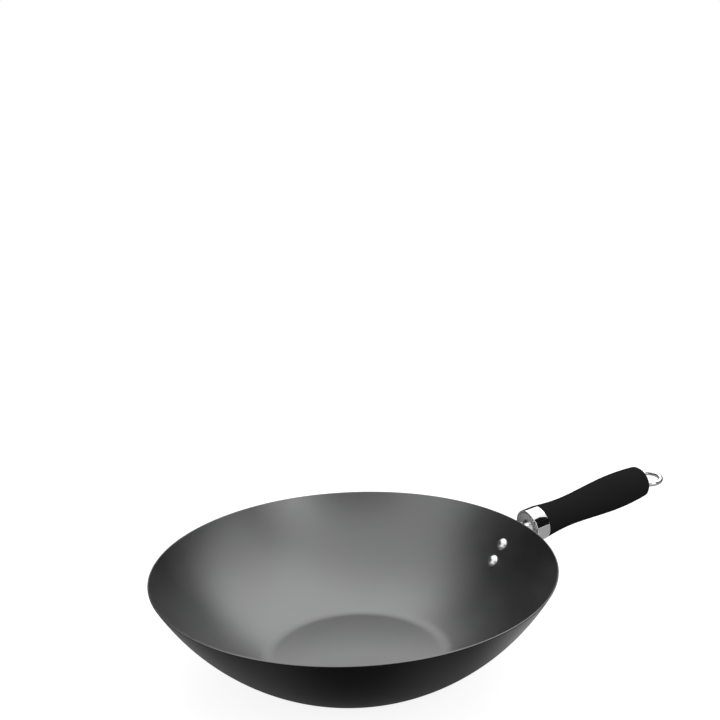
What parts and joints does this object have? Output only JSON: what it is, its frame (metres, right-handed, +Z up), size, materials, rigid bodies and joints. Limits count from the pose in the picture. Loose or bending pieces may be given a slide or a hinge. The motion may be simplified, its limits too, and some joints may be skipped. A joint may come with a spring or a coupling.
{
  "type": "carbon steel wok",
  "caption": "Round-bottomed pan with a flat base, wide curved wall and one long handle of folded steel arm, collar and moulded grip with a hanging eye.",
  "frame": {"origin": "centre of the flat base's underside", "axes": "+Z up through the bowl's mouth, +X from the bowl's centre along the handle, +Y to the left seen from the handle's end"},
  "size_m": [0.5492, 0.3598, 0.1134],
  "materials": {
    "bowl_coating": "satin dark grey non-stick coating inside, near-black coating outside, on carbon steel sheet",
    "rivet_metal": "bright polished rivet heads",
    "bracket_chrome": "chrome plated folded steel sheet",
    "ferrule_chrome": "mirror polished chrome",
    "plate_steel": "satin grey steel",
    "grip_plastic": "matt black soft-touch moulded plastic",
    "loop_chrome": "bright chrome plated wire",
    "nut_steel": "zinc plated steel, hidden in the tang"
  },
  "bodies": {
    "root": {"wok_bowl": "bowl_coating", "rivets": "rivet_metal", "handle_bracket": "bracket_chrome", "ferrule": "ferrule_chrome", "ferrule_plate": "plate_steel", "grip": "grip_plastic", "hanging_loop": "loop_chrome", "tang_nut": "nut_steel"}
  },
  "joints": []
}
